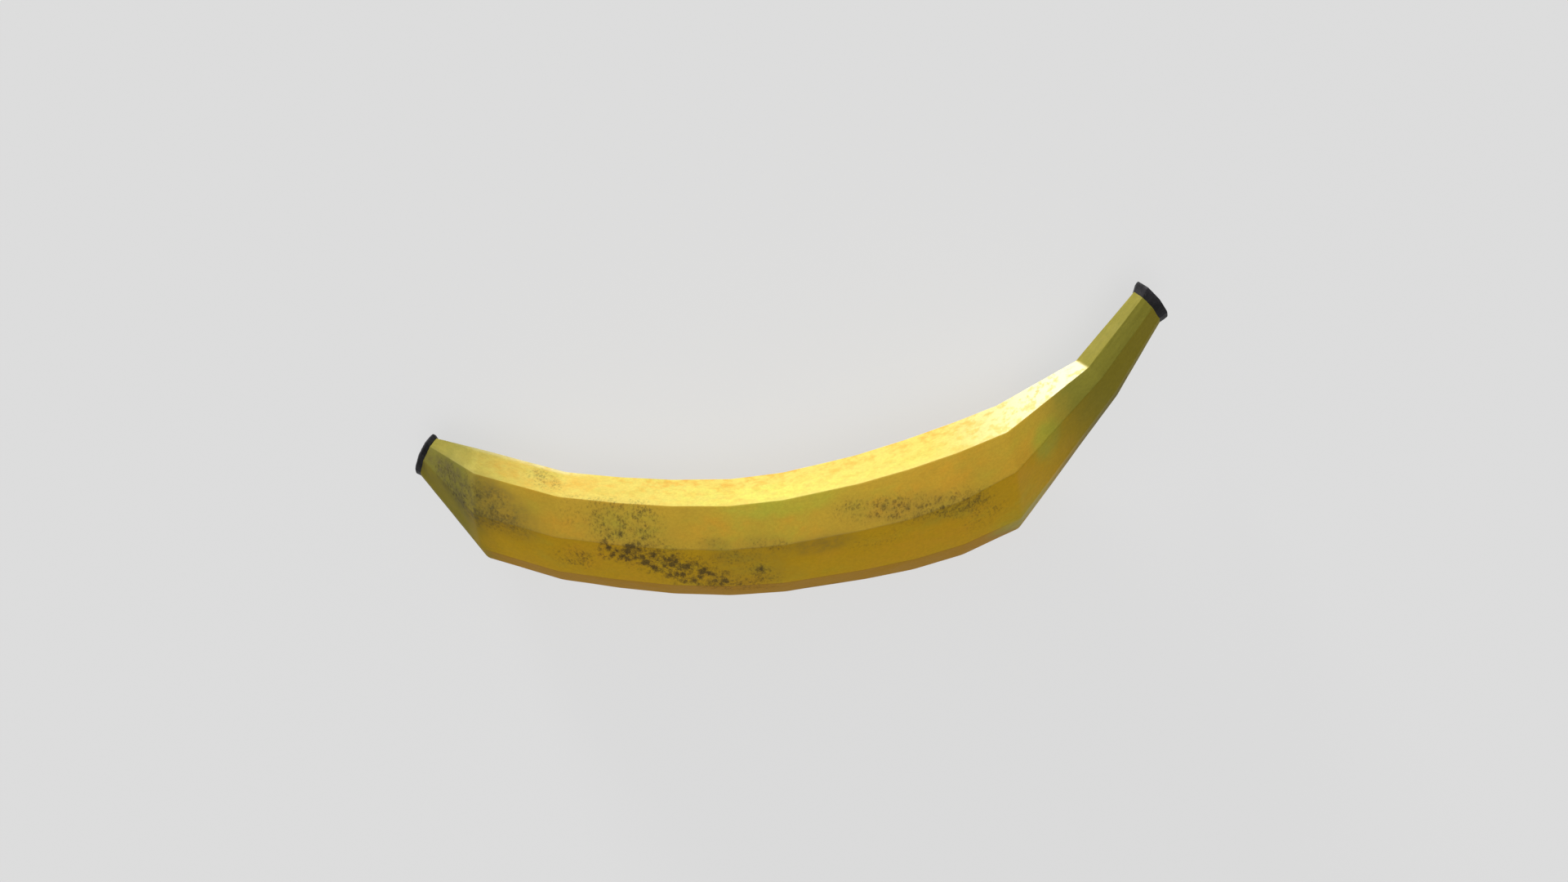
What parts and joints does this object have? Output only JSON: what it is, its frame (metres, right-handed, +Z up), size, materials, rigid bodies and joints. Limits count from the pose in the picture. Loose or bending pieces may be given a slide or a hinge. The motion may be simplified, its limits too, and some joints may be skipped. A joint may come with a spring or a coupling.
{
  "type": "banana",
  "caption": "Ripe spotted banana lying on its side, with a flared dry stem end and a small dark blossom end.",
  "frame": {"origin": "on the surface it lies on, below the middle of the bounding box", "axes": "+X along the fruit towards the stem, +Y towards the inside of the bend, +Z up from the side it lies on"},
  "size_m": [0.2152, 0.0896, 0.0357],
  "materials": {
    "peel": "waxy satin, olive at both ends, with dark ripening spots",
    "dry_end": "matt, dried and nearly black"
  },
  "bodies": {
    "root": {"banana": "peel"}
  },
  "joints": []
}
